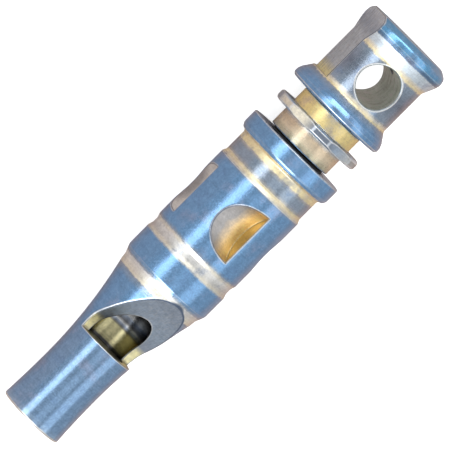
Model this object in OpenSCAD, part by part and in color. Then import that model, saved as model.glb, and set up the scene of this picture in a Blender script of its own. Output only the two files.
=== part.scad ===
// Adjustable whistle call, turned from titanium bar.
// A blown air sheet leaves a flat windway, crosses a side window and strikes the lip of a
// sloping cut. A piston closes the tube behind the window. Turning the cap screws a stem
// through a bush and slides the piston, which sets the pitch. A collar with a hexagonal
// flange then locks the stem.
//
// The tube lies along X, mouthpiece at -X, with the window facing +Z. Its two flanges touch
// z = 0. A station is a distance along the tube from the mouthpiece end, in millimetres.

/* [Barrel] */
// Diameter of the bar, which the flanges keep
stock_d = 12.7; // [12.4:0.1:13]
// Diameter of the main barrel
barrel_d = 11.7; // [11.6:0.1:12]
// Station of the barrel's open end
barrel_len = 41.7; // [41.7:0.1:41.8]
// Diameter of the sounding bore
bore_d = 5.8; // [5.6:0.1:6]
// Width of the end flange
flange_w = 2.3; // [2:0.1:2.5]
// Width of the recess between the barrel and its end flange
recess_w = 3.3; // [3:0.1:3.6]
// Depth of that recess
recess_depth = 0.24; // [0.15:0.01:0.35]
// Station of the middle of the turned groove
groove_x = 25.3; // [25:0.1:25.6]
// Width of the turned groove at the surface
groove_w = 1.8; // [1.4:0.1:2]
// Depth of the turned groove
groove_depth = 0.18; // [0.1:0.01:0.25]
// Bevel along the edges of the flanges
edge = 0.25; // [0.1:0.05:0.3]

/* [Mouthpiece] */
// Diameter at the blowing end
mouth_d = 8; // [7.8:0.1:8.2]
// Diameter at the narrowest place
waist_d = 7.58; // [7.5:0.02:7.7]
// Station of the narrowest place
waist_x = 6.5; // [6:0.1:7]
// Radius of the long curve from the narrowest place to the shoulder
flare_radius = 57; // [54:1:60]
// Station where that curve ends
flare_end = 19.7; // [19.5:0.1:19.8]
// Station where the shoulder reaches the barrel's diameter
shoulder_end = 21.5; // [21.4:0.1:21.8]

/* [Window] */
// Station of the square step where the air sheet leaves the windway
window_x = 11.5; // [11.3:0.1:11.7]
// Height of the window's floor above the tube's centre line
window_floor = 0.4; // [0.2:0.1:0.6]
// Length of the window's floor
window_floor_len = 1.6; // [1.4:0.1:1.8]
// Slope of the cut that rises from the floor to the lip and the cone
ramp_angle = 34; // [33:0.5:35]
// Thickness of the air sheet in the windway
windway = 0.8; // [0.6:0.1:1]

/* [Side cuts] */
// Number of cuts around the barrel
cut_count = 4; // [3:1:4]
// Station of their middle
cut_x = 31; // [30.9:0.1:31.1]
// Radius of the disc cutter that makes them
cutter_r = 4.3; // [4.2:0.1:4.4]
// Distance from the centre line to the deepest place
cut_floor = 4.12; // [4:0.02:4.3]

/* [Cap] */
// Station of the cap's lower face
cap_x = 47.45; // [47.4:0.05:47.5]
// Station of the cap's outer end
overall_len = 59.1; // [59:0.1:59.4]
// Diameter of the cap between its flanges
cap_waist_d = 10.7; // [10.5:0.1:10.9]
// Diameter of the cap's outer flange
cap_top_d = 12.34; // [12.2:0.02:12.4]
// Turn of the cap about the tube, from the window
cap_roll = -16; // [-180:1:180]
// Station of the lanyard hole
lanyard_x = 53; // [52.9:0.1:53.1]
// Diameter of the lanyard hole
lanyard_d = 5; // [4.8:0.1:5]
// Diameter of the cord hole in the cap's end
cord_hole_d = 3; // [2.6:0.1:3]
// Distance from the centre line to the flat on the cap's side
side_flat = 4.45; // [4.4:0.05:4.6]

/* [Lock collar] */
// Station of the collar's inner end
collar_x = 42; // [42:0.05:42.1]
// Diameter of the collar's sleeve
collar_d = 8.3; // [8.2:0.1:8.4]
// Station of the hexagonal flange
hex_x = 44.33; // [44.2:0.05:44.5]
// Thickness of the hexagonal flange
hex_t = 1.1; // [1:0.1:1.2]
// Distance across the flats of the hexagonal flange
hex_flats = 11.3; // [11:0.1:11.4]
// Distance across the rounded corners of the hexagonal flange
hex_corners = 11.9; // [11.7:0.1:12]
// Turn of one corner about the tube, from the window
hex_roll = -25; // [-30:1:30]

/* [Tuning screw] */
// Diameter of the stem over its thread
stem_d = 3.94; // [3.9:0.02:3.96]
// Station of the piston's face
piston_x = 28.5; // [28.4:0.1:28.6]
// Length of the piston
piston_len = 4.4; // [4.4:0.1:4.5]
// Radial clearance of each running fit
running = 0.05; // [0.03:0.01:0.06]
// Diameter of the bush in the barrel's open end
bush_d = 7.8; // [7.6:0.1:7.8]
// Station of the bush's inner face, where the piston stops
bush_x = 37; // [37:0.1:37.2]

/* [Hidden] */

round_fn = 96;
blue = [0.42, 0.56, 0.70];
champagne = [0.78, 0.72, 0.58];
gold = [0.84, 0.72, 0.42];
steel = [0.62, 0.63, 0.65];
brass = [0.72, 0.58, 0.30];
black = [0.08, 0.08, 0.09];

axis_z = stock_d / 2;
stock_r = stock_d / 2;
barrel_r = barrel_d / 2;
bore_r = bore_d / 2;
mouth_r = mouth_d / 2;
waist_r = waist_d / 2;
rim_r = 0.4;
far = 20;

// Shoulder between the mouthpiece cone and the barrel
shoulder_start = shoulder_end - 1.1;
shoulder_r = 5.42;

// Recess and end flange
flange_x = barrel_len - flange_w;
recess_x = flange_x - recess_w;
recess_r = barrel_r - recess_depth;
recess_slope = 0.3;

// Open end: a counterbore for the bush, and a groove for its retaining clip
bush_r = bush_d / 2;
bush_len = 3.6;
clip_slot_x = bush_x + bush_len;
clip_slot_w = 0.4;
clip_slot_r = bush_r + 0.4;
clip_t = 0.35;

// Fipple block
block_x = 0.9;
block_end = window_x - 0.12;
block_flat = bore_r - windway;

// Stem, its journal in the piston, and the pieces that hold it there
stem_r = stem_d / 2;
journal_r = 1.2;
journal_nose = piston_x + 0.3;
stem_end = 49.95;
thread_clear = stem_r + running;
clip_pocket_r = 2.2;
clip_pocket = 0.9;
stem_clip_x = piston_x + 0.5;
stem_clip_t = 0.35;
stem_groove_r = 0.9;
washer_t = 0.3;
washer_gap = 0.02;
stem_shoulder = piston_x + piston_len + washer_t + 2 * washer_gap;

// Piston seals
piston_r = bore_r - 0.04;
ring_section = 0.8;
ring_mid_r = bore_r - 0.02 - ring_section / 2;
ring_groove_w = 1;
ring_front_x = piston_x + 1.75;
ring_rear_x = piston_x + 3.35;

// Lock washer in the barrel's mouth
lock_washer_x = 41.25;
lock_washer_t = 0.72;
lock_washer_r = 3.74;

// Collar
collar_end = cap_x - 0.1;
collar_r = collar_d / 2;
insert_t = 1;
insert_r = 3.1;
hex_bevel = 0.15;

// Cap
cap_rim_w = 1.05;
cap_waist_r = cap_waist_d / 2;
cap_waist_x = 49.85;
cap_top_x = 55.7;
cap_top_r = cap_top_d / 2;
cap_top_bulge = 57.9;
cap_flat_x = 49.85;
socket_end = 50;
set_screw_x = 48.75;
set_screw_r = 1;
set_screw_len = 3;
stem_flat_r = 1.7;

// Places its children along the tube, with local z as the station.
module along_tube(x = 0) {
    translate([x - overall_len / 2, 0, axis_z]) rotate([0, 90, 0]) children();
}

// Places its children in tube coordinates: x is the station, and z the height over the
// centre line, turned about the tube by roll.
module in_tube(roll = 0) {
    translate([-overall_len / 2, 0, axis_z]) rotate([roll, 0, 0]) children();
}

// A turned solid. Each point is [station, radius].
module turned(points) {
    along_tube() rotate_extrude($fn = round_fn) polygon([for (p = points) [p[1], p[0]]]);
}

// A plain ring or disc between two stations.
module ring(x, length, outer, inner = 0) {
    along_tube(x) difference() {
        cylinder(r = outer, h = length, $fn = round_fn);
        if (inner > 0) translate([0, 0, -1]) cylinder(r = inner, h = length + 2, $fn = round_fn);
    }
}

// Points of an arc about a centre, in [station, radius].
function arc(x, r, radius, from, to, steps) =
    [for (i = [0 : steps]) let (a = from + (to - from) * i / steps)
        [x + radius * cos(a), r + radius * sin(a)]];

// Radius of the mouthpiece at a station. Two arcs meet at the narrowest place.
lip_rise = mouth_r - waist_r;
lip_radius = (waist_x * waist_x + lip_rise * lip_rise) / (2 * lip_rise);
function flare(x) = let (curve = x < waist_x ? lip_radius : flare_radius, d = x - waist_x)
    waist_r + curve - sqrt(curve * curve - d * d);

flare_steps = 16;
flare_points = [for (i = [0 : flare_steps]) let (x = rim_r + (flare_end - rim_r) * i / flare_steps)
    [x, flare(x)]];

// The outside of the barrel, from the rim of the mouthpiece to the open end.
barrel_outline = concat(
    arc(rim_r, mouth_r - rim_r, rim_r, 180, 100, 4),
    flare_points,
    [
        [shoulder_start, shoulder_r],
        [shoulder_end - 0.15, barrel_r - 0.04],
        [shoulder_end + 0.1, barrel_r],
        [groove_x - groove_w / 2, barrel_r],
        [groove_x - groove_w / 5, barrel_r - groove_depth],
        [groove_x + groove_w / 5, barrel_r - groove_depth],
        [groove_x + groove_w / 2, barrel_r],
        [recess_x - recess_slope / 2, barrel_r],
        [recess_x + recess_slope, recess_r],
        [flange_x - edge, recess_r],
        [flange_x, recess_r + edge],
        [flange_x, stock_r - edge],
        [flange_x + edge, stock_r],
        [barrel_len - edge, stock_r],
        [barrel_len, stock_r - edge]
    ]
);

// The inside of the barrel, from the open end back to the mouthpiece.
barrel_inside = [
    [barrel_len, bush_r + 0.2],
    [barrel_len - 0.2, bush_r],
    [clip_slot_x + clip_slot_w, bush_r],
    [clip_slot_x + clip_slot_w, clip_slot_r],
    [clip_slot_x, clip_slot_r],
    [clip_slot_x, bush_r],
    [bush_x, bush_r],
    [bush_x, bore_r],
    [0.3, bore_r],
    [0, bore_r + 0.3]
];

// Side outline of the window: a square step, a short floor and a long ramp, with the
// corner between the floor and the ramp rounded.
ramp_x = window_x + window_floor_len;
ramp_top = 7;
blend_r = 1;
blend_reach = blend_r * tan(ramp_angle / 2);
blend_steps = 4;
window_outline = concat(
    [
        [window_x, ramp_top],
        [window_x, window_floor]
    ],
    [for (i = [0 : blend_steps]) let (a = ramp_angle * i / blend_steps)
        [ramp_x - blend_reach + blend_r * sin(a), window_floor + blend_r * (1 - cos(a))]],
    [[ramp_x + (ramp_top - window_floor) / tan(ramp_angle), ramp_top]]
);

module window_cut() {
    in_tube() rotate([90, 0, 0]) linear_extrude(height = 2 * far, center = true) polygon(window_outline);
}

// One side cut: the flat end of the disc cutter leaves a wall on the centre plane, and its
// rim a hollow floor that runs out through the barrel's side.
module side_cut(roll) {
    in_tube(roll) translate([cut_x, far, cut_floor + cutter_r]) rotate([90, 0, 0])
        cylinder(r = cutter_r, h = far, $fn = round_fn);
}

module barrel() {
    color(blue) difference() {
        turned(concat(barrel_outline, barrel_inside));
        window_cut();
        for (i = [0 : cut_count - 1]) side_cut(i * 360 / cut_count);
    }
}

module fipple_block() {
    color(black) difference() {
        ring(block_x, block_end - block_x, bore_r);
        in_tube() translate([0, -far / 2, block_flat]) cube([far, far, far]);
    }
}

module stem_bush() {
    color(brass) ring(bush_x, bush_len, bush_r, thread_clear);
}

// Retaining ring with a gap, and an eye at each side of the gap.
module bush_clip() {
    clip_x = clip_slot_x + (clip_slot_w - clip_t) / 2;
    clip_inner = 3.1;
    gap = 1.6;
    color(steel) difference() {
        ring(clip_x, clip_t, clip_slot_r - 0.05, clip_inner);
        in_tube() translate([clip_x - 1, -gap / 2, 0]) cube([2 + clip_t, gap, far]);
    }
}

module piston() {
    groove_floor = ring_mid_r - ring_section / 2 - 0.02;
    color(black) turned([
        [piston_x, clip_pocket_r],
        [piston_x, piston_r - 0.15],
        [piston_x + 0.15, piston_r],
        [ring_front_x - ring_groove_w / 2, piston_r],
        [ring_front_x - ring_groove_w / 2, groove_floor],
        [ring_front_x + ring_groove_w / 2, groove_floor],
        [ring_front_x + ring_groove_w / 2, piston_r],
        [ring_rear_x - ring_groove_w / 2, piston_r],
        [ring_rear_x - ring_groove_w / 2, groove_floor],
        [ring_rear_x + ring_groove_w / 2, groove_floor],
        [ring_rear_x + ring_groove_w / 2, piston_r],
        [piston_x + piston_len, piston_r],
        [piston_x + piston_len, journal_r + running],
        [piston_x + clip_pocket, journal_r + running],
        [piston_x + clip_pocket, clip_pocket_r]
    ]);
}

module o_ring(x) {
    color(black) along_tube(x) rotate_extrude($fn = round_fn)
        translate([ring_mid_r, 0]) circle(d = ring_section, $fn = 32);
}

module piston_o_ring_front() {
    o_ring(ring_front_x);
}

module piston_o_ring_rear() {
    o_ring(ring_rear_x);
}

module thrust_washer() {
    color(champagne) ring(piston_x + piston_len + washer_gap / 2, washer_t, 2, journal_r + running);
}

// The threaded rod that joins the cap to the piston. The thread is drawn as its outer
// diameter. A flat near the outer end takes the set screw.
module tuning_stem() {
    color(steel) difference() {
        turned([
            [journal_nose, 0],
            [journal_nose, journal_r - 0.15],
            [journal_nose + 0.15, journal_r],
            [stem_clip_x, journal_r],
            [stem_clip_x, stem_groove_r],
            [stem_clip_x + stem_clip_t, stem_groove_r],
            [stem_clip_x + stem_clip_t, journal_r],
            [stem_shoulder, journal_r],
            [stem_shoulder, stem_r - 0.2],
            [stem_shoulder + 0.2, stem_r],
            [stem_end - 0.2, stem_r],
            [stem_end, stem_r - 0.2],
            [stem_end, 0]
        ]);
        in_tube(cap_roll) translate([cap_x + 0.2, -far / 2, -stem_flat_r - far])
            cube([far, far, far]);
    }
}

// Snap ring in the journal's groove, open on one side.
module stem_clip() {
    color(steel) difference() {
        ring(stem_clip_x + 0.01, stem_clip_t - 0.02, 2, stem_groove_r);
        in_tube(cap_roll) translate([stem_clip_x - 1, -stem_groove_r, 0])
            cube([3, 2 * stem_groove_r, far]);
    }
}

module lock_washer() {
    color(black) ring(lock_washer_x, lock_washer_t, lock_washer_r, stem_r + 0.09);
}

module lock_collar() {
    color(gold) difference() {
        union() {
            turned([
                [collar_x, thread_clear],
                [collar_x, collar_r - 0.2],
                [collar_x + 0.2, collar_r],
                [collar_end - 0.1, collar_r],
                [collar_end, collar_r - 0.1],
                [collar_end, insert_r],
                [collar_end - insert_t, insert_r],
                [collar_end - insert_t, thread_clear]
            ]);
            intersection() {
                turned([
                    [hex_x, collar_r - 0.5],
                    [hex_x, hex_corners / 2 - hex_bevel],
                    [hex_x + hex_bevel, hex_corners / 2],
                    [hex_x + hex_t - hex_bevel, hex_corners / 2],
                    [hex_x + hex_t, hex_corners / 2 - hex_bevel],
                    [hex_x + hex_t, collar_r - 0.5]
                ]);
                in_tube(hex_roll) rotate([0, 90, 0])
                    cylinder(r = hex_flats / 2 / cos(30), h = overall_len, $fn = 6);
            }
        }
    }
}

module collar_insert() {
    color(black) ring(collar_end - insert_t + 0.02, insert_t - 0.1, insert_r, thread_clear);
}

// The cap's outside, from its lower face to its outer end.
cap_outline = concat(
    [
        [cap_x, stock_r - edge],
        [cap_x + edge, stock_r],
        [cap_x + cap_rim_w - 0.1, stock_r],
        [cap_x + cap_rim_w + 0.15, stock_r - 0.12],
        [cap_waist_x - 0.15, cap_waist_r + 0.12],
        [cap_waist_x + 0.1, cap_waist_r],
        [cap_top_x, cap_waist_r],
        [cap_top_x + 0.4, cap_waist_r + 0.13],
        [cap_top_x + 1.4, cap_top_r - 0.2]
    ],
    arc(cap_top_bulge, cap_top_r - 1.2, 1.2, 100, 10, 6),
    [[overall_len, cap_top_r - 1.35]]
);

module cap() {
    countersink = 0.2;
    color(blue) difference() {
        turned(concat(cap_outline, [
            [overall_len, cord_hole_d / 2 + countersink],
            [overall_len - countersink, cord_hole_d / 2],
            [lanyard_x, cord_hole_d / 2],
            [lanyard_x, 0],
            [socket_end, 0],
            [socket_end, stem_r],
            [cap_x, stem_r]
        ]));
        in_tube(cap_roll) {
            translate([lanyard_x, 0, -far / 2]) cylinder(d = lanyard_d, h = far, $fn = round_fn);
            translate([cap_flat_x, side_flat, -far / 2]) cube([far, far, far]);
            translate([set_screw_x, 0, -far]) cylinder(r = set_screw_r, h = far, $fn = round_fn);
        }
    }
}

module cap_set_screw() {
    socket = 0.9;
    color(black) in_tube(cap_roll) difference() {
        translate([set_screw_x, 0, -stem_flat_r - set_screw_len])
            cylinder(r = set_screw_r, h = set_screw_len, $fn = round_fn);
        translate([set_screw_x, 0, -stem_flat_r - set_screw_len - 0.1])
            cylinder(r = socket / 2 / cos(30), h = 1.2, $fn = 6);
    }
}

barrel();
fipple_block();
stem_bush();
bush_clip();
piston();
piston_o_ring_front();
piston_o_ring_rear();
thrust_washer();
cap();
tuning_stem();
cap_set_screw();
stem_clip();
lock_washer();
lock_collar();
collar_insert();
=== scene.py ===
"""Adjustable whistle call: the visible pieces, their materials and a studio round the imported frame.

Shapes are worked out in millimetres, in tube coordinates: x is the station, the distance from the
mouthpiece end, and y and z are across the tube from its centre line, as in the frame. Surfaces of
the turned and milled pieces come from distance functions, sampled on a grid and then moved onto
the exact surface, so that every cut edge is slightly rounded as on the real metal.
"""
import math

import bpy
import numpy as np
from mathutils import Matrix, Vector

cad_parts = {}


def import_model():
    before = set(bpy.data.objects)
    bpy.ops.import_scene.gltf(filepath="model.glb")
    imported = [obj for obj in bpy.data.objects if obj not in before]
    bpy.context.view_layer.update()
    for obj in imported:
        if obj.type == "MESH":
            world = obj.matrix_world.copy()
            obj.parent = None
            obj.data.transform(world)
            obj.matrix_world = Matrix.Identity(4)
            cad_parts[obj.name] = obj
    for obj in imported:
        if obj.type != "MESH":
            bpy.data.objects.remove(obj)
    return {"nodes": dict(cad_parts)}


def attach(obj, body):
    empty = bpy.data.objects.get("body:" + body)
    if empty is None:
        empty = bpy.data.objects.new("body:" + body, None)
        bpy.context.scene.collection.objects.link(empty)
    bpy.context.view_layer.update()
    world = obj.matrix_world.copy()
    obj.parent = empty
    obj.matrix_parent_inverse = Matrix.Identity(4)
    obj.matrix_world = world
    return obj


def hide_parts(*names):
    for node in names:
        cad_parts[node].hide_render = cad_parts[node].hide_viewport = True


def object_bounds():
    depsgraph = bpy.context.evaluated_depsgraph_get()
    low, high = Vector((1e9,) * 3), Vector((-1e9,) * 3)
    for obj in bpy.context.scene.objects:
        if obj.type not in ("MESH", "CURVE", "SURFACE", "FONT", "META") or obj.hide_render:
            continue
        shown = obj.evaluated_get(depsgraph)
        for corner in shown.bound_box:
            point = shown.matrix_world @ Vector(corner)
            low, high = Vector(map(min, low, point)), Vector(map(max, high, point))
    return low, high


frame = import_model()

cad_low, cad_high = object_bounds()
MM = 0.001

# ---------------------------------------------------------------- sizes, in millimetres
LENGTH = (cad_high.x - cad_low.x) / MM
STOCK_R = cad_high.z / MM / 2  # the two flanges beside the collar
AXIS_Z = STOCK_R

BARREL_R = 5.85
BORE_R = 2.9
MOUTH_R = 4.0
WAIST_R = 3.79
WAIST_X = 6.5
FLARE_RADIUS = 57
FLARE_END = 19.7
SHOULDER_START = 20.4
SHOULDER_END = 21.5
SHOULDER_FOOT_R = 5.42
SHOULDER_TOP_R = 5.81
GROOVE_X = 25.3
GROOVE_DEPTH = 0.18
RECESS_X = 36.1
RECESS_R = 5.61
FLANGE_X = 39.4
BARREL_END = 41.7
BUSH_R = 3.9
BUSH_X = 37.0

WINDOW_X = 11.5
WINDOW_FLOOR = 0.4
RAMP_X = 13.1
RAMP_ANGLE = math.radians(34)

CUT_X = 31.0
CUTTER_R = 4.3
CUT_FLOOR = 4.12

CAP_X = 47.45
CAP_WAIST_R = 5.35
CAP_WAIST_X = 49.85
CAP_TOP_X = 55.7
CAP_TOP_R = 6.17
CAP_ROLL = math.radians(-16)
LANYARD_X = 53.0
LANYARD_R = 2.5
CORD_HOLE_R = 1.5
SIDE_FLAT = 4.45
SET_SCREW_X = 48.75
SET_SCREW_R = 1.0

COLLAR_X = 42.0
COLLAR_R = 4.15
COLLAR_END = 47.35
HEX_X = 44.33
HEX_T = 1.1
HEX_FLAT = 5.65
HEX_CORNER = 5.95
HEX_CHAMFER_X = 0.22
HEX_CHAMFER_R = 0.28
HEX_ROLL = math.radians(-25)
SEAT_X = COLLAR_END - 1
INSERT_R = 3.1
INSERT_X = 46.37
INSERT_END = 47.27

STEM_R = 1.97
STEM_HOLE_R = STEM_R + 0.05
STEM_X = 33.24
STEM_END = 49.95
THREAD_PITCH = 0.5
THREAD_DEPTH = 0.3
END_TAPER = 0.15

WASHER_X = 41.25
WASHER_END = 41.97
WASHER_R = 3.74
WASHER_HOLE_R = STEM_R + 0.09

BLOCK_X = 0.9
BLOCK_END = 11.38
BLOCK_MIDDLE = round((BLOCK_X + BLOCK_END) / 2, 2)
BLOCK_HALF = round((BLOCK_END - BLOCK_X) / 2, 2)
WINDWAY_Z = BORE_R - 0.8

# Widths of the rounding where a cutter's face meets a turned one.
BARREL_EDGE = 0.12
CAP_EDGE = 0.14
LANYARD_EDGE = 0.3
HEX_EDGE = 0.08

# Widths of the rounding where two faces of one cut, or of the plug, meet.
RAMP_EDGE = 0.6
STEP_EDGE = 0.1
WALL_EDGE = 0.08
BLOCK_EDGE = 0.1

# Distances between the points of a sampled surface.
FINE_GRID = 0.09
BODY_GRID = 0.1
PLAIN_GRID = 0.14


# ---------------------------------------------------------------- distance functions
def rounded(points, steps=6):
    """A closed outline in which a point (x, r, radius) is replaced by an arc of that radius."""
    out, n = [], len(points)
    for i, (x, r, *fillet) in enumerate(points):
        here = np.array([x, r], float)
        if not fillet:
            out.append(here)
            continue
        before = np.array(points[i - 1][:2], float) - here
        after = np.array(points[(i + 1) % n][:2], float) - here
        len_b, len_a = np.linalg.norm(before), np.linalg.norm(after)
        before, after = before / len_b, after / len_a
        half = math.acos(np.clip(before @ after, -1, 1)) / 2
        reach = min(fillet[0] / math.tan(half), 0.49 * len_b, 0.49 * len_a)
        radius = reach * math.tan(half)
        middle = before + after
        centre = here + middle / np.linalg.norm(middle) * radius / math.sin(half)
        start, end = here + before * reach - centre, here + after * reach - centre
        a0, a1 = math.atan2(start[1], start[0]), math.atan2(end[1], end[0])
        sweep = (a1 - a0 + math.pi) % (2 * math.pi) - math.pi
        for k in range(steps + 1):
            a = a0 + sweep * k / steps
            out.append(centre + radius * np.array([math.cos(a), math.sin(a)]))
    return np.array(out)


class Turned:
    """Distance to a turned solid, read from a fine table over station and radius."""

    STEP = 0.025

    def __init__(self, points):
        outline = rounded(points)
        self.low = np.array([outline[:, 0].min() - 1, -0.5])
        high = np.array([outline[:, 0].max() + 1, outline[:, 1].max() + 1])
        count = np.ceil((high - self.low) / self.STEP).astype(int) + 1
        x = self.low[0] + self.STEP * np.arange(count[0])
        r = np.abs(self.low[1] + self.STEP * np.arange(count[1]))
        x, r = np.meshgrid(x, r, indexing="ij")
        nearest = np.full(x.shape, 1e9)
        inside = np.zeros(x.shape, bool)
        for (x0, r0), (x1, r1) in zip(outline, np.roll(outline, -1, 0)):
            dx, dr = x1 - x0, r1 - r0
            along = np.clip(((x - x0) * dx + (r - r0) * dr) / max(dx * dx + dr * dr, 1e-12), 0, 1)
            nearest = np.minimum(nearest, (x - x0 - along * dx) ** 2 + (r - r0 - along * dr) ** 2)
            if dr:
                inside ^= ((r0 > r) != (r1 > r)) & (x < x0 + (r - r0) * dx / dr)
        self.table = np.where(inside, -1, 1) * np.sqrt(nearest)

    def __call__(self, x, y, z):
        place = [(x - self.low[0]) / self.STEP, (np.hypot(y, z) - self.low[1]) / self.STEP]
        cell = [np.clip(p.astype(int), 0, n - 2) for p, n in zip(place, self.table.shape)]
        u, v = (np.clip(p - c, 0, 1) for p, c in zip(place, cell))
        i, j = cell
        t = self.table
        low = t[i, j] * (1 - v) + t[i, j + 1] * v
        high = t[i + 1, j] * (1 - v) + t[i + 1, j + 1] * v
        return low * (1 - u) + high * u


def both(a, b, edge):
    """Distance to what a and b share, with the edge between them rounded."""
    h = np.maximum(edge - np.abs(a - b), 0) / edge
    return np.maximum(a, b) + h * h * edge / 4


def turn(y, z, roll):
    """Coordinates in a frame that is rolled about the tube."""
    c, s = math.cos(roll), math.sin(roll)
    return y * c + z * s, z * c - y * s


def grid_surface(distance, low, high, step):
    """Vertices and quads of a distance function's zero surface, by surface nets."""
    axes = [np.arange(a - 2 * step, b + 3 * step, step) for a, b in zip(low, high)]
    field = np.empty([len(a) for a in axes], np.float32)
    y, z = np.meshgrid(axes[1], axes[2], indexing="ij")
    for i, x in enumerate(axes[0]):
        field[i] = distance(np.full(y.shape, x), y, z)
    solid = field < 0
    cells = tuple(n - 1 for n in field.shape)
    corner = [(i, j, k) for i in (0, 1) for j in (0, 1) for k in (0, 1)]

    def at(array, c):
        return array[tuple(slice(o, o + n) for o, n in zip(c, cells))]

    count = sum(at(solid, c).astype(np.int8) for c in corner)
    active = np.nonzero((count > 0) & (count < 8))
    values = {c: field[tuple(a + o for a, o in zip(active, c))] for c in corner}
    total = np.zeros((len(active[0]), 3))
    hits = np.zeros(len(active[0]))
    for c in corner:
        for axis in range(3):
            if c[axis]:
                continue
            d = tuple(o + (n == axis) for n, o in enumerate(c))
            a, b = values[c], values[d]
            crossed = (a < 0) != (b < 0)
            t = np.where(crossed, a / np.where(crossed, a - b, 1), 0)
            point = np.array(c, float)[None, :].repeat(len(t), 0)
            point[:, axis] += t
            total += point * crossed[:, None]
            hits += crossed
    base = np.array([a[0] for a in axes])
    points = base + step * (np.stack(active, 1) + total / hits[:, None])
    index = np.full(cells, -1, np.int32)
    index[active] = np.arange(len(points))
    quads = []
    for axis in range(3):
        first = [slice(1, n - 1) for n in field.shape]
        first[axis] = slice(0, field.shape[axis] - 1)
        second = list(first)
        second[axis] = slice(1, field.shape[axis])
        a, b = solid[tuple(first)], solid[tuple(second)]
        p, q = [n for n in range(3) if n != axis]
        for going_out in (True, False):
            where = np.nonzero(a & ~b if going_out else ~a & b)
            where = [w + (0 if n == axis else 1) for n, w in enumerate(where)]
            ring = []
            for dp, dq in ((1, 1), (0, 1), (0, 0), (1, 0)):
                place = list(where)
                place[p], place[q] = where[p] - dp, where[q] - dq
                ring.append(index[tuple(place)])
            ring = np.stack(ring, 1)
            quads.append(ring if going_out == (axis != 1) else ring[:, ::-1])
    return points, np.concatenate(quads)


def settle(distance, points, rounds=4, h=0.01):
    """Moves points onto the surface. Returns them and the mean curvature there, per millimetre."""
    for _ in range(rounds):
        x, y, z = points.T
        value = distance(x, y, z)
        slope = np.stack([
            distance(x + h, y, z) - distance(x - h, y, z),
            distance(x, y + h, z) - distance(x, y - h, z),
            distance(x, y, z + h) - distance(x, y, z - h),
        ], 1) / (2 * h)
        size = np.maximum((slope * slope).sum(1), 0.25)
        points = points - slope * (value / size)[:, None]
    x, y, z = points.T
    w = 0.08
    neighbours = sum(
        distance(x + w * dx, y + w * dy, z + w * dz)
        for dx, dy, dz in ((1, 0, 0), (-1, 0, 0), (0, 1, 0), (0, -1, 0), (0, 0, 1), (0, 0, -1))
    )
    return points, (neighbours - 6 * distance(x, y, z)) / (w * w)


# ---------------------------------------------------------------- making objects
def to_frame(points):
    """Tube coordinates in millimetres to the frame's metres."""
    return (np.asarray(points, float) + [-LENGTH / 2, 0, AXIS_Z]) * MM


def make_object(name, points, faces, body, replaced, material):
    """A smooth-shaded mesh that rides on a CAD body and stands for a CAD node."""
    mesh = bpy.data.meshes.new(name)
    faces = np.asarray(faces)
    mesh.vertices.add(len(points))
    mesh.vertices.foreach_set("co", to_frame(points).ravel())
    mesh.loops.add(faces.size)
    mesh.loops.foreach_set("vertex_index", faces.ravel().astype(np.int32))
    mesh.polygons.add(len(faces))
    mesh.polygons.foreach_set("loop_start", np.arange(0, faces.size, faces.shape[1], dtype=np.int32))
    mesh.update(calc_edges=True)
    mesh.validate()
    mesh.polygons.foreach_set("use_smooth", np.ones(len(mesh.polygons), bool))
    mesh.materials.append(material)
    obj = bpy.data.objects.new(name, mesh)
    bpy.context.scene.collection.objects.link(obj)
    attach(obj, body)
    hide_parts(replaced)
    return obj


def add_values(obj, name, values):
    """A number on every vertex, which materials read by name."""
    layer = obj.data.attributes.new(name, "FLOAT", "POINT")
    layer.data.foreach_set("value", np.asarray(values, np.float32))


def carve(name, distance, low, high, step, body, replaced, material, depth=None):
    """A piece from its distance function, with its edge sharpness and its depth of cut."""
    points, quads = grid_surface(distance, low, high, step)
    points, curve = settle(distance, points)
    obj = make_object(name, points, quads, body, replaced, material)
    add_values(obj, "edge", np.clip(curve / 8, -1, 1))
    add_values(obj, "cut", np.zeros(len(points)) if depth is None else depth(*points.T))
    return obj


def lathe(name, outline, body, replaced, material, segments=128, sharp=35):
    """A turned ring or disc from its closed outline of (station, radius)."""
    outline = rounded(outline, 4)
    angle = np.linspace(0, 2 * math.pi, segments, endpoint=False)
    n = len(outline)
    x = np.repeat(outline[:, 0], segments)
    y = np.outer(outline[:, 1], np.cos(angle)).ravel()
    z = np.outer(outline[:, 1], np.sin(angle)).ravel()
    i, j = np.meshgrid(np.arange(n), np.arange(segments), indexing="ij")
    i, j, i1, j1 = i.ravel(), j.ravel(), (i.ravel() + 1) % n, (j.ravel() + 1) % segments
    quads = np.stack([i * segments + j, i1 * segments + j, i1 * segments + j1, i * segments + j1], 1)
    area = np.sum(outline[:, 0] * np.roll(outline[:, 1], -1) - np.roll(outline[:, 0], -1) * outline[:, 1])
    quads = quads if area > 0 else quads[:, ::-1]
    obj = make_object(name, np.stack([x, y, z], 1), quads, body, replaced, material)
    obj.data.set_sharp_from_angle(angle=math.radians(sharp))
    return obj


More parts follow.
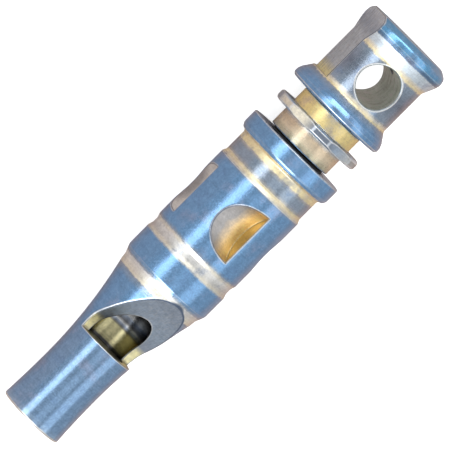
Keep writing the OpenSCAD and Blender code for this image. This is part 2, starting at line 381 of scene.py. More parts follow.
# ---------------------------------------------------------------- material helpers
class Graph:
    """A short way to write node materials."""

    def __init__(self, name, **shader):
        self.material = bpy.data.materials.new(name)
        self.material.use_nodes = True
        self.tree = self.material.node_tree
        self.shader = self.tree.nodes["Principled BSDF"]
        for socket, value in shader.items():
            self.shader.inputs[socket.replace("_", " ")].default_value = value

    def node(self, kind, out=0, inputs=None, **settings):
        made = self.tree.nodes.new(kind)
        for key, value in settings.items():
            setattr(made, key, value)
        for key, value in (inputs or {}).items():
            self.put(made.inputs[key], value)
        return made.outputs[out]

    def put(self, socket, value):
        if isinstance(value, bpy.types.NodeSocket):
            self.tree.links.new(value, socket)
        else:
            socket.default_value = value

    def set(self, socket, value):
        self.put(self.shader.inputs[socket], value)

    def maths(self, operation, a, b=0.0, c=0.0):
        return self.node("ShaderNodeMath", inputs={0: a, 1: b, 2: c}, operation=operation)

    def span(self, value, low, high, to_low=0.0, to_high=1.0, smooth=True):
        kind = "SMOOTHSTEP" if smooth else "LINEAR"
        inputs = {"Value": value, "From Min": low, "From Max": high, "To Min": to_low, "To Max": to_high}
        return self.node("ShaderNodeMapRange", inputs=inputs, interpolation_type=kind)

    def mix(self, share, a, b, blend="MIX"):
        made = self.tree.nodes.new("ShaderNodeMix")
        made.data_type, made.blend_type = "RGBA", blend
        self.put(made.inputs["Factor"], share)
        for socket, value in ((made.inputs["A"], a), (made.inputs["B"], b)):
            for s in made.inputs:
                if s.name == socket.name and s.type == "RGBA":
                    self.put(s, value if isinstance(value, bpy.types.NodeSocket) else (*value, 1))
        return next(s for s in made.outputs if s.type == "RGBA")

    def noise(self, where, scale, detail=3.0, rough=0.5):
        inputs = {"Vector": where, "Scale": scale, "Detail": detail, "Roughness": rough}
        return self.node("ShaderNodeTexNoise", inputs=inputs)

    def value_of(self, name):
        return self.node("ShaderNodeAttribute", out="Fac", attribute_name=name)

    def ramp(self, value, stops):
        made = self.tree.nodes.new("ShaderNodeValToRGB")
        self.put(made.inputs[0], value)
        elements = made.color_ramp.elements
        while len(elements) < len(stops):
            elements.new(0.5)
        for element, (place, colour) in zip(elements, sorted(stops)):
            element.position, element.color = place, (*colour, 1)
        return made.outputs[0]

    def along(self, value, stops):
        """A colour that follows a value through (value, colour) stops."""
        low, high = stops[0][0], stops[-1][0]
        share = self.maths("DIVIDE", self.maths("SUBTRACT", value, low), high - low)
        return self.ramp(share, [((v - low) / (high - low), c) for v, c in stops])

    def tube(self):
        """Station, radius, angle and place of the shaded point, in millimetres and radians."""
        here = self.node("ShaderNodeTexCoord", out="Object")
        split = self.tree.nodes.new("ShaderNodeSeparateXYZ")
        self.put(split.inputs[0], here)
        station = self.maths("MULTIPLY_ADD", split.outputs[0], 1000.0, LENGTH / 2)
        y = self.maths("MULTIPLY", split.outputs[1], 1000.0)
        z = self.maths("MULTIPLY_ADD", split.outputs[2], 1000.0, -AXIS_Z)
        radius = self.maths("SQRT", self.maths("MULTIPLY_ADD", y, y, self.maths("MULTIPLY", z, z)))
        angle = self.maths("ARCTAN2", y, z)
        return station, radius, angle, self.combine(station, y, z)

    def combine(self, x, y, z):
        return self.node("ShaderNodeCombineXYZ", inputs={0: x, 1: y, 2: z})

    def bump(self, height, distance, strength):
        inputs = {"Height": height, "Distance": distance, "Strength": strength}
        return self.node("ShaderNodeBump", inputs=inputs)


# Oxide colours of heated titanium, as reflected by the metal. A few stand for painted light and shade
# instead, as noted beside them.
BLUE = (0.215, 0.405, 0.67)
MOUTH_BLUE = (0.25, 0.40, 0.61)
PALE_BLUE = (0.36, 0.51, 0.70)
DEEP_BLUE = (0.17, 0.42, 0.70)
NAVY = (0.08, 0.12, 0.20)
# A dark navy that paints a reflection: the dark band on the cap's rim.
NAVY_REFLECTION = (0.15, 0.24, 0.37)
SLATE = (0.22, 0.26, 0.33)
STEEL_BLUE = (0.34, 0.42, 0.52)
RAMP_GREY = (0.30, 0.35, 0.43)
GREY = (0.50, 0.51, 0.51)
MAUVE = (0.46, 0.45, 0.45)
ASH = (0.64, 0.64, 0.62)
PEWTER = (0.53, 0.61, 0.68)
BRONZE = (0.54, 0.52, 0.38)
BORE_GOLD = (0.44, 0.41, 0.24)
# Blue-white for painted highlights on the hexagon's corners and chamfers.
BRIGHT = (0.86, 0.93, 1.0)
SILVER = (0.80, 0.80, 0.78)
ICE = (0.66, 0.75, 0.82)
CHAMPAGNE = (0.82, 0.77, 0.64)
GOLD = (0.93, 0.81, 0.51)
STRAW = (0.95, 0.77, 0.36)
AMBER = (1.0, 0.73, 0.36)
SAND = (0.74, 0.60, 0.43)
# Olive darkened as painted shade, on the window step's face.
SHADED_OLIVE = (0.42, 0.38, 0.22)
KHAKI = (0.33, 0.27, 0.13)
LEMON = (0.86, 0.80, 0.46)
VIOLET = (0.40, 0.38, 0.50)
ROCK = (0.26, 0.28, 0.26)
DUSK_BLUE = (0.20, 0.34, 0.60)
ROSE = (0.80, 0.68, 0.50)
HOLE_GREY = (0.90, 1.0, 0.94)
PALE_METAL = (0.85, 0.85, 0.82)
# Near black, standing for shade: painted shade in bores and holes, and in the barrel's rear bore also its
# darker metal and turning rings.
DARK_METAL_AND_SHADE = (0.10, 0.10, 0.10)


def clouded(g, colour, where, share, colours):
    """Large soft clouds of thinner and thicker oxide."""
    cloud = g.noise(where, 0.4, 4.0, 0.62)
    colour = g.mix(g.span(cloud, 0.50, 0.72, 0.0, share), colour, colours[0])
    return g.mix(g.span(cloud, 0.28, 0.46, share, 0.0), colour, colours[1])


def worn_and_highlit_edges(g, colour, cut):
    """Pale edges, partly rubbed wear and partly painted highlight, and a dark line of thick oxide just
    inside each cut.
    """
    # Convex edges are mixed toward silver: partly rubbed wear, partly painted highlight.
    colour = g.mix(g.span(g.value_of("edge"), 0.12, 0.55, 0.0, 0.62), colour, SILVER)
    rim = g.maths("MULTIPLY", g.span(cut, 0.03, 0.05), g.span(cut, 0.08, 0.14, 1.0, 0.0))
    return g.mix(g.maths("MULTIPLY", rim, 0.8), colour, NAVY)


def turned_finish(g, colour, cut, station, angle, where):
    """Sets the base colour, gloss and relief, with turning rings, blast grain and mottling."""
    # Turning rings are fine grooves that follow the tube round. The grain lies over them.
    lengthwise, round_about = g.maths("MULTIPLY", station, 7.0), g.maths("MULTIPLY", angle, 0.9)
    rings = g.noise(g.combine(lengthwise, round_about, 0.0), 1.0, 5.0, 0.75)
    grain = g.noise(where, 5.0, 5.0, 0.75)
    mottle = g.noise(where, 1.6, 4.0, 0.65)
    shade = g.span(rings, 0.3, 0.7, 0.90, 1.10, smooth=False)
    shade = g.maths("MULTIPLY", shade, g.span(grain, 0.3, 0.7, 0.84, 1.16, smooth=False))
    shade = g.maths("MULTIPLY", shade, g.span(mottle, 0.3, 0.7, 0.88, 1.12, smooth=False))
    g.set("Base Color", g.mix(1.0, colour, g.combine(shade, shade, shade), "MULTIPLY"))
    # Turned faces with thick oxide are glossy. Pale bands and milled faces are satin.
    satin = g.maths("MAXIMUM", g.span(colour, 0.45, 0.75, 0.0, 0.19), g.span(cut, 0.03, 0.06, 0.0, 0.16))
    # Lips and fingers have polished the mouthpiece.
    polished = g.span(station, 10.0, 13.0, 0.015, 0.06)
    rough = g.maths("MULTIPLY_ADD", mottle, 0.14, g.maths("ADD", satin, polished))
    g.set("Roughness", g.maths("MULTIPLY_ADD", grain, 0.12, rough))
    height = g.maths("MULTIPLY_ADD", rings, 0.5, g.maths("MULTIPLY", grain, 0.5))
    g.set("Normal", g.bump(height, 0.00003, 0.6))


def titanium(name, zones, milled, bore, bore_radius, clouds=0.35, cloud_colours=(VIOLET, DUSK_BLUE)):
    """Turned, heat-coloured titanium.

    zones lists (station, colour) along the turned surface and bore does so inside it. milled is
    a function that makes the colour of the faces a milling cutter left.
    """
    g = Graph(name, Metallic=1.0, Specular_Tint=(1.0, 0.86, 0.78, 1))
    station, radius, angle, where = g.tube()
    cut = g.value_of("cut")
    # The oxide's borders wander a little, because the part was heated by hand.
    drift = g.maths("SUBTRACT", g.noise(where, 0.5, 2.0), 0.5)
    fine_drift = g.maths("SUBTRACT", g.noise(where, 2.4, 4.0), 0.5)
    wander = g.maths("MULTIPLY_ADD", drift, 0.2, g.maths("MULTIPLY", fine_drift, 0.3))
    shifted = g.maths("ADD", station, wander)
    colour = clouded(g, g.along(shifted, zones), where, clouds, cloud_colours)
    colour = g.mix(g.span(cut, 0.01, 0.04), colour, milled(g, shifted, radius, angle, where))
    inside = g.span(radius, bore_radius + 0.12, bore_radius + 0.03)
    colour = g.mix(inside, colour, g.along(station, bore))
    turned_finish(g, worn_and_highlit_edges(g, colour, cut), cut, station, angle, where)
    return g.material


def window_colour(g, station, where):
    """Olive on the step's face, darkened as painted shade, then straw gold by the step and blue-grey up
    the ramp, with fine tool scratches.
    """
    window = g.along(station, [
        # The olive from 11.0 to 11.7 mm darkens the step's face: painted shade.
        (11.0, SHADED_OLIVE), (11.7, SHADED_OLIVE), (11.8, LEMON), (13.3, LEMON),
        (14.0, RAMP_GREY), (16.0, STEEL_BLUE), (20.5, RAMP_GREY),
    ])
    stretch = {"Vector": where, "Rotation": (0.3, 0.0, 0.9), "Scale": (0.9, 9.0, 2.5)}
    scratch = g.noise(g.node("ShaderNodeMapping", inputs=stretch), 1.0, 5.0, 0.7)
    window = g.mix(g.span(scratch, 0.50, 0.66, 0.0, 0.55), window, GREY)
    return g.mix(g.span(scratch, 0.34, 0.48, 0.45, 0.0), window, SLATE)


def side_cut_colour(g, radius, angle, where):
    """Grey at the rim and orange by the wall, which is olive."""
    # The walls stand on the tube's two centre planes, where the angle is a multiple of 90 degrees.
    slant = g.maths("ABSOLUTE", g.maths("SINE", g.maths("MULTIPLY", angle, 2.0)))
    off_plane = g.maths("MULTIPLY", radius, slant)
    drift = g.maths("SUBTRACT", g.noise(where, 1.0, 3.0), 0.5)
    side_cut = g.along(
        g.maths("MULTIPLY_ADD", drift, 1.6, off_plane),
        [(0.0, AMBER), (2.0, AMBER), (3.2, SAND), (4.4, MAUVE), (6.0, MAUVE)],
    )
    # The cut on the +Y side was heated less than the others.
    off_side = g.maths("ABSOLUTE", g.maths("SUBTRACT", angle, math.pi / 2))
    side_cut = g.mix(g.span(off_side, 0.3, 0.7, 1.0, 0.0), side_cut, PALE_METAL)
    return g.mix(g.span(off_plane, 0.1, 0.25, 0.92, 0.0), side_cut, KHAKI)


def barrel_milled(g, station, radius, angle, where):
    """The window, and beyond it the four side cuts."""
    window = window_colour(g, station, where)
    side_cut = side_cut_colour(g, radius, angle, where)
    return g.mix(g.span(station, 22.0, 24.0), window, side_cut)


def cap_milled(g, station, radius, angle, where):
    """A pale green-grey lanyard hole, and a grey side flat with a straw tint by the flange."""
    across = g.maths("MULTIPLY", radius, g.maths("SINE", g.maths("ADD", angle, CAP_ROLL)))
    flat = g.along(station, [
        (49.6, LEMON), (50.4, LEMON), (51.4, PEWTER),
        (55.8, PEWTER), (57.0, STEEL_BLUE), (59.1, PEWTER),
    ])
    depth = g.maths("MULTIPLY", radius, g.maths("COSINE", g.maths("ADD", angle, CAP_ROLL)))
    scuffs = g.noise(g.combine(g.maths("MULTIPLY", depth, 3.0), across, station), 0.9, 5.0, 0.7)
    flat = g.mix(g.span(scuffs, 0.36, 0.50, 0.5, 0.0), flat, SLATE)
    flat = g.mix(g.span(scuffs, 0.52, 0.64, 0.0, 0.5), flat, SILVER)
    deep, lengthwise = g.maths("MULTIPLY", depth, 2.0), g.maths("MULTIPLY", station, 0.5)
    tool_marks = g.noise(g.combine(deep, across, lengthwise), 0.55, 3.0, 0.6)
    hole = g.mix(g.span(tool_marks, 0.34, 0.54, 0.3, 0.0), HOLE_GREY, ROCK)
    return g.mix(g.span(across, 3.4, 4.0), hole, flat)


def collar_flats(g, station, radius, angle, where):
    """Round its edge, the hexagon's colour changes between champagne, grey and slate with the way each
    flat faces: painted light and shade, champagne toward the main lamp and slate toward the camera.
    """
    flats = g.along(angle, [
        (-3.15, CHAMPAGNE), (-1.2, MAUVE), (-0.4, GREY), (0.0, STEEL_BLUE), (0.2, SLATE), (0.65, SLATE),
        (0.9, CHAMPAGNE), (1.5, CHAMPAGNE), (1.9, STEEL_BLUE), (3.15, CHAMPAGNE),
    ])
    # The turned corners between the flats have a bright outline, partly edge wear and partly painted
    # highlight, and bright chamfers, which are painted highlight.
    first_corner = math.pi / 3 - HEX_ROLL
    corner = g.maths("COSINE", g.maths("MULTIPLY", g.maths("SUBTRACT", angle, first_corner), 6.0))
    outline = g.maths("MULTIPLY", g.span(corner, 0.1, 0.3), g.span(corner, 0.4, 0.6, 1.0, 0.0))
    from_middle = g.maths("ABSOLUTE", g.maths("SUBTRACT", station, HEX_X + HEX_T / 2))
    chamfer = g.maths("MULTIPLY", g.span(from_middle, 0.30, 0.36), g.span(corner, 0.1, 0.3))
    flats = g.mix(g.maths("MULTIPLY", outline, 0.45), flats, BRIGHT)
    return g.mix(g.maths("MULTIPLY", chamfer, 0.9), flats, BRIGHT)


def plain(name, colour, rough, metallic=0.0, speckle=0.12, scale=6.0, depth=0.00001):
    """A machined or moulded material with a fine uneven surface."""
    g = Graph(name, Metallic=metallic)
    *_, where = g.tube()
    spots = g.noise(where, scale, 4.0, 0.6)
    dark = tuple(c * (1 - speckle) for c in colour)
    light = tuple(min(1, c * (1 + speckle)) for c in colour)
    g.set("Base Color", g.mix(g.span(spots, 0.3, 0.7), dark, light))
    g.set("Roughness", g.span(g.noise(where, scale * 0.4, 3.0), 0.3, 0.7, rough - 0.07, rough + 0.07))
    g.set("Normal", g.bump(spots, depth, 0.6))
    return g.material


barrel_zones = [
    # mouthpiece and cone
    (0.0, ROSE), (0.3, PALE_BLUE), (1.0, MOUTH_BLUE), (11.0, MOUTH_BLUE), (14.0, BLUE), (18.6, BLUE),
    # shoulder
    (19.45, STEEL_BLUE), (19.6, CHAMPAGNE), (20.8, SILVER), (20.95, STEEL_BLUE), (21.3, BLUE),
    # groove
    (24.25, BLUE), (24.4, CHAMPAGNE), (25.0, ASH), (25.6, SILVER), (26.05, CHAMPAGNE), (26.2, STEEL_BLUE),
    # main body
    (26.6, BLUE), (35.7, BLUE), (35.93, STEEL_BLUE),
    # recess
    (36.05, CHAMPAGNE), (36.5, GOLD), (36.75, GREY), (37.1, STEEL_BLUE), (38.0, STEEL_BLUE),
    (38.35, GREY), (38.55, GOLD), (39.3, GOLD),
    # end flange
    (39.5, BLUE), (41.8, BLUE),
]
# Inside the barrel: the black band from 11.3 to 11.66 mm by the window step is painted shade under the
# step, and the dark line at 14.0 mm after the gold is a painted shadow, as of a small step in the bore.
# The grey and dark rings after it are turning marks. From 16.2 mm the rear bore's darker metal is painted
# near black, as shade.
barrel_bore = [
    (0.0, SLATE), (11.3, DARK_METAL_AND_SHADE), (11.66, DARK_METAL_AND_SHADE), (11.76, BORE_GOLD), (13.8, BORE_GOLD), (14.0, DARK_METAL_AND_SHADE),
    (14.3, SLATE), (14.5, GREY), (14.7, DARK_METAL_AND_SHADE), (15.3, SLATE), (15.5, GREY), (16.2, DARK_METAL_AND_SHADE), (42.0, DARK_METAL_AND_SHADE),
]
cap_zones = [
    # front flange
    (47.3, BLUE), (48.9, BLUE),
    # waist
    (49.6, STEEL_BLUE), (49.8, GOLD), (50.15, CHAMPAGNE), (50.5, STEEL_BLUE), (53.0, SLATE),
    (55.3, STEEL_BLUE), (55.6, GOLD), (55.95, CHAMPAGNE), (56.3, ICE), (57.2, ICE),
    # outer flange, with a deep navy band on its rim that is a painted dark reflection
    (57.35, NAVY_REFLECTION), (57.6, NAVY_REFLECTION), (57.75, DEEP_BLUE), (59.2, DEEP_BLUE),
]
# Deeper in the cord hole the wall is painted near black: painted shade.
cap_bore = [(52.0, HOLE_GREY), (54.5, HOLE_GREY), (55.6, DARK_METAL_AND_SHADE), (59.2, DARK_METAL_AND_SHADE)]
collar_zones = [
    (41.9, SLATE), (42.3, BRONZE), (43.0, ROSE), (43.8, SAND), (44.25, GREY), (44.5, CHAMPAGNE),
    (45.2, GREY), (45.45, GREY), (45.6, STRAW), (47.4, STRAW),
]
# Inside the collar the bore is painted near black: painted shade.
collar_bore = [(42.0, DARK_METAL_AND_SHADE), (47.0, DARK_METAL_AND_SHADE)]

barrel_metal = titanium("barrel_metal", barrel_zones, barrel_milled, barrel_bore, BORE_R)
cap_metal = titanium("cap_metal", cap_zones, cap_milled, cap_bore, CORD_HOLE_R)
collar_metal = titanium(
    "collar_metal", collar_zones, collar_flats, collar_bore, INSERT_R,
    clouds=0.7, cloud_colours=(MAUVE, SAND),
)
acetal = plain("black_acetal", (0.018, 0.018, 0.02), 0.42)
rubber = plain("black_rubber", (0.014, 0.014, 0.015), 0.6)
nylon = plain("black_nylon", (0.02, 0.02, 0.022), 0.5)
brass = plain("turned_brass", (0.60, 0.43, 0.18), 0.3, 1.0)
stainless = plain("stainless_steel", (0.52, 0.52, 0.53), 0.28, 1.0)
spring_steel = plain("spring_steel", (0.35, 0.35, 0.37), 0.35, 1.0)
black_steel = plain("black_steel", (0.05, 0.05, 0.055), 0.4, 1.0)
fluoroplastic = plain("pale_plastic", (0.78, 0.76, 0.70), 0.45)


# ---------------------------------------------------------------- barrel
def flare(x):
    """Radius of the mouthpiece. Two arcs meet at its narrowest place."""
    rise = MOUTH_R - WAIST_R
    curve = (WAIST_X**2 + rise**2) / (2 * rise) if x < WAIST_X else FLARE_RADIUS
    return WAIST_R + curve - math.sqrt(curve**2 - (x - WAIST_X) ** 2)


flare_line = [(x, flare(x)) for x in np.linspace(0.5, FLARE_END, 48)]
barrel_solid = Turned([
    (0, BORE_R, 0.3),
    (0, flare(0), 0.38),
    *flare_line,
    (SHOULDER_START, SHOULDER_FOOT_R, 0.1),
    (SHOULDER_END - 0.15, SHOULDER_TOP_R, 0.1),
    (SHOULDER_END + 0.1, BARREL_R),
    (GROOVE_X - 0.9, BARREL_R, 0.12),
    (GROOVE_X - 0.36, BARREL_R - GROOVE_DEPTH, 0.2),
    (GROOVE_X + 0.36, BARREL_R - GROOVE_DEPTH, 0.2),
    (GROOVE_X + 0.9, BARREL_R, 0.12),
    (RECESS_X - 0.15, BARREL_R, 0.1),
    (RECESS_X + 0.3, RECESS_R, 0.15),
    (FLANGE_X - 0.25, RECESS_R, 0.1),
    (FLANGE_X, RECESS_R + 0.25),
    (FLANGE_X, STOCK_R - 0.3, 0.1),
    (FLANGE_X + 0.45, STOCK_R, 0.6),
    (BARREL_END - 0.1, STOCK_R, 0.05),
    (BARREL_END, STOCK_R - 0.1, 0.05),
    (BARREL_END, BUSH_R, 0.15),
    (BUSH_X, BUSH_R),
    (BUSH_X, BORE_R),
])


def window_distance(x, y, z):
    """A square step, a short floor and a long ramp, open to the top."""
    bottom = WINDOW_FLOOR - z
    ramp = (x - RAMP_X) * math.sin(RAMP_ANGLE) - (z - WINDOW_FLOOR) * math.cos(RAMP_ANGLE)
    return both(both(bottom, ramp, RAMP_EDGE), WINDOW_X - x, STEP_EDGE)


def side_cut_distance(x, y, z, roll):
    """A wall on the centre plane and a hollow floor, as a disc cutter leaves."""
    y, z = turn(y, z, roll)
    disc = np.hypot(x - CUT_X, z - CUT_FLOOR - CUTTER_R) - CUTTER_R
    return both(disc, -y, WALL_EDGE)


def barrel_distance(x, y, z):
    """The turned barrel less its window and its four side cuts."""
    d = both(barrel_solid(x, y, z), -window_distance(x, y, z), BARREL_EDGE)
    for k in range(4):
        d = both(d, -side_cut_distance(x, y, z, k * math.pi / 2), BARREL_EDGE)
    return d


carve(
    "barrel_body", barrel_distance, [0, -STOCK_R, -STOCK_R], [BARREL_END, STOCK_R, STOCK_R], BODY_GRID,
    "barrel", "barrel", barrel_metal,
    lambda x, y, z: np.maximum(-barrel_solid(x, y, z), 0),
)

# ---------------------------------------------------------------- cap
cap_solid = Turned([
    (CAP_X, STEM_R),
    (CAP_X, STOCK_R - 0.25, 0.05),
    (CAP_X + 0.25, STOCK_R, 0.15),
    (CAP_X + 0.75, STOCK_R, 0.5),
    (CAP_X + 1.25, STOCK_R - 0.2, 0.5),
    (CAP_WAIST_X, CAP_WAIST_R, 0.5),
    (CAP_TOP_X, CAP_WAIST_R, 0.6),
    (CAP_TOP_X + 1.5, CAP_TOP_R - 0.14, 0.35),
    (CAP_TOP_X + 2.1, CAP_TOP_R, 0.3),
    (LENGTH - 0.55, CAP_TOP_R - 0.12, 0.7),
    (LENGTH, CAP_TOP_R - 1.0, 0.4),
    (LENGTH, CORD_HOLE_R, 0.2),
    (LANYARD_X, CORD_HOLE_R),
    (LANYARD_X, -1),
    (STEM_END, -1),
    (STEM_END, STEM_R),
])


def cap_distance(x, y, z):
    """The turned cap less its lanyard hole, side flat and set screw hole."""
    y, z = turn(y, z, CAP_ROLL)
    d = both(cap_solid(x, y, z), LANYARD_R - np.hypot(x - LANYARD_X, y), LANYARD_EDGE)
    flat = np.maximum(SIDE_FLAT - y, CAP_WAIST_X - x)
    d = both(d, -flat, CAP_EDGE)
    screw = np.maximum(np.hypot(x - SET_SCREW_X, y) - SET_SCREW_R, z)
    return both(d, -screw, CAP_EDGE)


carve(
    "cap_body", cap_distance, [CAP_X, -STOCK_R, -STOCK_R], [LENGTH, STOCK_R, STOCK_R], BODY_GRID,
    "cap", "cap", cap_metal,
    lambda x, y, z: np.maximum(-cap_solid(x, y, z), 0),
)

# ---------------------------------------------------------------- lock collar
collar_sleeve = Turned([
    (COLLAR_X, STEM_HOLE_R),
    (COLLAR_X, COLLAR_R, 0.08),
    (COLLAR_END, COLLAR_R, 0.12),
    (COLLAR_END, INSERT_R),
    (SEAT_X, INSERT_R),
    (SEAT_X, STEM_HOLE_R),
])
hex_end = HEX_X + HEX_T
hex_root = COLLAR_R - 0.5
collar_disc = Turned([
    (HEX_X, hex_root),
    (HEX_X, HEX_CORNER - HEX_CHAMFER_R, 0.06),
    (HEX_X + HEX_CHAMFER_X, HEX_CORNER, 0.06),
    (hex_end - HEX_CHAMFER_X, HEX_CORNER, 0.06),
    (hex_end, HEX_CORNER - HEX_CHAMFER_R, 0.06),
    (hex_end, hex_root),
])


def collar_distance(x, y, z):
    """A sleeve with a disc that is cut to a hexagon."""
    hexagon = np.full(x.shape, -HEX_FLAT)
    for k in range(6):
        outward, _ = turn(y, z, HEX_ROLL + k * math.pi / 3)
        hexagon = np.maximum(hexagon, outward - HEX_FLAT)
    disc = both(collar_disc(x, y, z), hexagon, HEX_EDGE)
    return np.minimum(collar_sleeve(x, y, z), disc)


carve(
    "lock_collar_body", collar_distance,
    [COLLAR_X, -HEX_CORNER, -HEX_CORNER], [COLLAR_END, HEX_CORNER, HEX_CORNER], FINE_GRID,
    "lock_collar", "lock_collar", collar_metal,
    lambda x, y, z: np.clip(np.hypot(y, z) - COLLAR_R - 0.2, 0, 1),
)

# ---------------------------------------------------------------- small visible pieces
def block_distance(x, y, z):
    """A plug in the bore, with a flat that leaves room for the windway."""
    rod = np.hypot(y, z) - (BORE_R - 0.005)
    ends = np.abs(x - BLOCK_MIDDLE) - BLOCK_HALF
    return both(np.maximum(rod, ends), z - WINDWAY_Z, BLOCK_EDGE)


carve(
    "fipple_block_body", block_distance,
    [BLOCK_X, -BORE_R, -BORE_R], [BLOCK_END + 0.02, BORE_R, WINDWAY_Z], PLAIN_GRID,
    "barrel", "fipple_block", acetal,
)

washer_outline = [
    (WASHER_X, WASHER_HOLE_R),
    (WASHER_X, WASHER_R, 0.2),
    (WASHER_END, WASHER_R, 0.3),
    (WASHER_END, WASHER_HOLE_R),
]
lathe("lock_washer_body", washer_outline, "lock_washer", "lock_washer", rubber)

insert_outline = [
    (INSERT_X, STEM_HOLE_R),
    (INSERT_X, INSERT_R),
    (INSERT_END, INSERT_R),
    (INSERT_END, STEM_HOLE_R, 0.15),
]
lathe("collar_insert_body", insert_outline, "lock_collar", "collar_insert", nylon)


def helix_points(start, end, rows, segments):
    """Rows of points on a rod with a helical thread, which runs out at both ends."""
    x = np.linspace(start, end, rows + 1)
    angle = np.linspace(0, 2 * math.pi, segments, endpoint=False)
    xx, aa = np.meshgrid(x, angle, indexing="ij")
    phase = (xx / THREAD_PITCH - aa / (2 * math.pi)) % 1
    # A triangle wave, clipped into a flat crest and a flat root.
    depth = THREAD_DEPTH * np.clip(1.35 * (1 - 2 * np.abs(phase - 0.5)) - 0.12, 0, 1)
    run_out = np.clip(np.minimum(xx - start, end - xx) / THREAD_PITCH, 0, 1)
    radius = STEM_R - depth * run_out - END_TAPER * (1 - run_out)
    return np.stack([xx, radius * np.sin(aa), radius * np.cos(aa)], 2).reshape(-1, 3)


def threaded_rod(name, start, end, body, replaced, material, segments=72, per_turn=10):
    """A rod with a helical thread, closed at both ends."""
    rows = int((end - start) / THREAD_PITCH * per_turn)
    points = helix_points(start, end, rows, segments)
    hub = len(points)
    last = rows * segments
    points = np.vstack([points, [[start, 0, 0], [end, 0, 0]]])
    i, j = np.meshgrid(np.arange(rows), np.arange(segments), indexing="ij")
    i, j = i.ravel() * segments, j.ravel()
    below, beside = i + segments, (j + 1) % segments
    side = np.stack([i + j, below + j, below + beside, i + beside], 1)
    k = np.arange(0, segments, 2)
    k1, k2 = k + 1, (k + 2) % segments
    first_end = np.stack([np.full(len(k), hub), k, k1, k2], 1)
    other_end = np.stack([np.full(len(k), hub + 1), last + k2, last + k1, last + k], 1)
    faces = np.vstack([side, first_end, other_end])[:, ::-1]
    obj = make_object(name, points, faces, body, replaced, material)
    obj.data.set_sharp_from_angle(angle=math.radians(40))


threaded_rod(
    "tuning_stem_body", STEM_X, STEM_END - 0.02, "cap", "tuning_stem", stainless,
)

# ---------------------------------------------------------------- carried-over CAD nodes
for node, material in {
    "stem_bush": brass, "bush_clip": spring_steel, "piston": acetal, "piston_o_ring_front": rubber,
    "piston_o_ring_rear": rubber, "thrust_washer": fluoroplastic, "cap_set_screw": black_steel,
    "stem_clip": spring_steel,
}.items():
    mesh = frame["nodes"][node].data
    mesh.materials.clear()
    mesh.materials.append(material)

# ---------------------------------------------------------------- studio
VIEW_ROLL = math.radians(-33.5)  # about the tube, from +Z
VIEW_TILT = 0.059  # radians
IMAGE_ANGLE = math.radians(45.1)
VIEW_X = 30.25  # the station at the middle of the view
VIEW_SHIFT = 0.14
VIEW_WIDTH = 49.4
CAMERA_DISTANCE = 762
FLOOR_GAP = 0.02
FLOOR_SIDE = 5000


def around(angle, distance, x=0.0):
    """A point at an angle about the tube from the camera's side, in metres."""
    a = VIEW_ROLL + angle
    return Vector((x, -math.sin(a) * distance, math.cos(a) * distance + AXIS_Z * MM))


def aim(obj, right, up, back, place):
    """Puts a camera or light at a place. It looks away from back."""
    bpy.context.scene.collection.objects.link(obj)
    obj.matrix_world = Matrix((
        (right.x, up.x, back.x, place.x),
        (right.y, up.y, back.y, place.y),
        (right.z, up.z, back.z, place.z),
        (0, 0, 0, 1),
    ))


def camera():
    """The camera is almost straight over the tube, which lies across its view's diagonal."""
    out = around(0, 1.0) - around(0, 0.0)
    side = around(math.pi / 2, 1.0) - around(math.pi / 2, 0.0)
    back = (out * math.cos(VIEW_TILT) + Vector((1, 0, 0)) * math.sin(VIEW_TILT)).normalized()
    along = (Vector((1, 0, 0)) * math.cos(VIEW_TILT) - out * math.sin(VIEW_TILT)).normalized()
    right = along * math.cos(IMAGE_ANGLE) + side * math.sin(IMAGE_ANGLE)
    up = along * math.sin(IMAGE_ANGLE) - side * math.cos(IMAGE_ANGLE)
    target = Vector(((VIEW_X - LENGTH / 2) * MM, 0, AXIS_Z * MM)) + side * VIEW_SHIFT * MM
    data = bpy.data.cameras.new("camera")
    data.sensor_width = 36
    data.lens = data.sensor_width * CAMERA_DISTANCE / VIEW_WIDTH
    data.clip_start, data.clip_end = 0.01, 10
    obj = bpy.data.objects.new("camera", data)
    aim(obj, right, up, back, target + back * CAMERA_DISTANCE * MM)
    bpy.context.scene.camera = obj


def soft_box(name, angle, width, length, distance, power, x=0.0):
    """An area light that faces the middle of the whistle, long along the tube."""
    data = bpy.data.lights.new(name, "AREA")
    data.shape = "RECTANGLE"
    data.size, data.size_y = length, width
    data.energy = power
    place = around(math.radians(angle), distance, x)
    back = (place - Vector((0, 0, AXIS_Z * MM))).normalized()
    along = (Vector((1, 0, 0)) - back * back.x).normalized()
    aim(bpy.data.objects.new(name, data), along, back.cross(along), back, place)


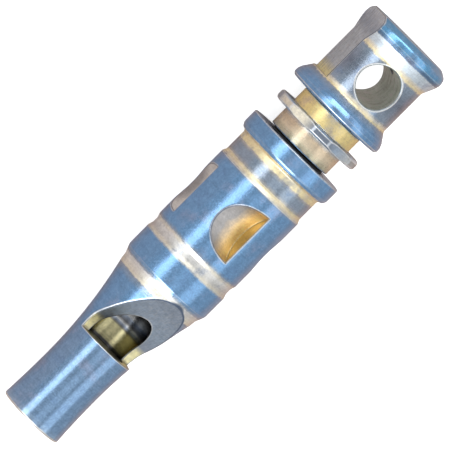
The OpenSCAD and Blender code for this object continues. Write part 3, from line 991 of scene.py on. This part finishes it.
def floor():
    """A plain pale floor against the barrel's shoulder and flange, on which the whistle lies."""
    tilt = math.atan2(STOCK_R - BARREL_R, FLANGE_X - SHOULDER_END)
    mesh = bpy.data.meshes.new("floor")
    half = FLOOR_SIDE * MM / 2
    corners = [(-half, -half, 0), (half, -half, 0), (half, half, 0), (-half, half, 0)]
    mesh.from_pydata(corners, [], [(0, 1, 2, 3)])
    obj = bpy.data.objects.new("floor", mesh)
    bpy.context.scene.collection.objects.link(obj)
    touch_x = (FLANGE_X + 0.3 - LENGTH / 2) * MM
    obj.matrix_world = Matrix.Translation((touch_x, 0, -FLOOR_GAP * MM)) @ Matrix.Rotation(tilt, 4, "Y")
    g = Graph("floor", Roughness=0.9, Specular_IOR_Level=0.1)
    # Seen in reflections the floor is a darker mauve, which paints dark mauve reflections along the
    # metal's edges; for other rays it glows evenly white.
    glossy = g.node("ShaderNodeLightPath", out="Is Glossy Ray")
    g.set("Base Color", g.mix(glossy, (0.86, 0.86, 0.86), (0.52, 0.465, 0.45)))
    g.set("Emission Color", (1.0, 1.0, 1.0, 1))
    g.set("Emission Strength", g.span(glossy, 0.0, 1.0, 0.70, 0.0, smooth=False))
    mesh.materials.append(g.material)


def world():
    """An even white surround."""
    made = bpy.data.worlds.new("studio")
    made.use_nodes = True
    background = made.node_tree.nodes["Background"]
    background.inputs["Color"].default_value = (1.0, 1.0, 1.0, 1)
    background.inputs["Strength"].default_value = 0.62
    bpy.context.scene.world = made


camera()
world()
floor()
soft_box("streak_light", angle=-24, width=0.26, length=1.6, distance=0.7, power=2.0)
soft_box("middle_light", angle=20, width=0.30, length=1.6, distance=0.7, power=0.4)
soft_box("side_light", angle=60, width=0.36, length=2.0, distance=0.7, power=1.3)
soft_box("mouth_end_light", angle=8, width=0.50, length=0.4, distance=0.5, power=2.4, x=-0.55)
soft_box("cap_end_light", angle=4, width=0.50, length=0.3, distance=0.5, power=1.0, x=0.55)
bpy.context.scene.view_settings.view_transform = "Standard"
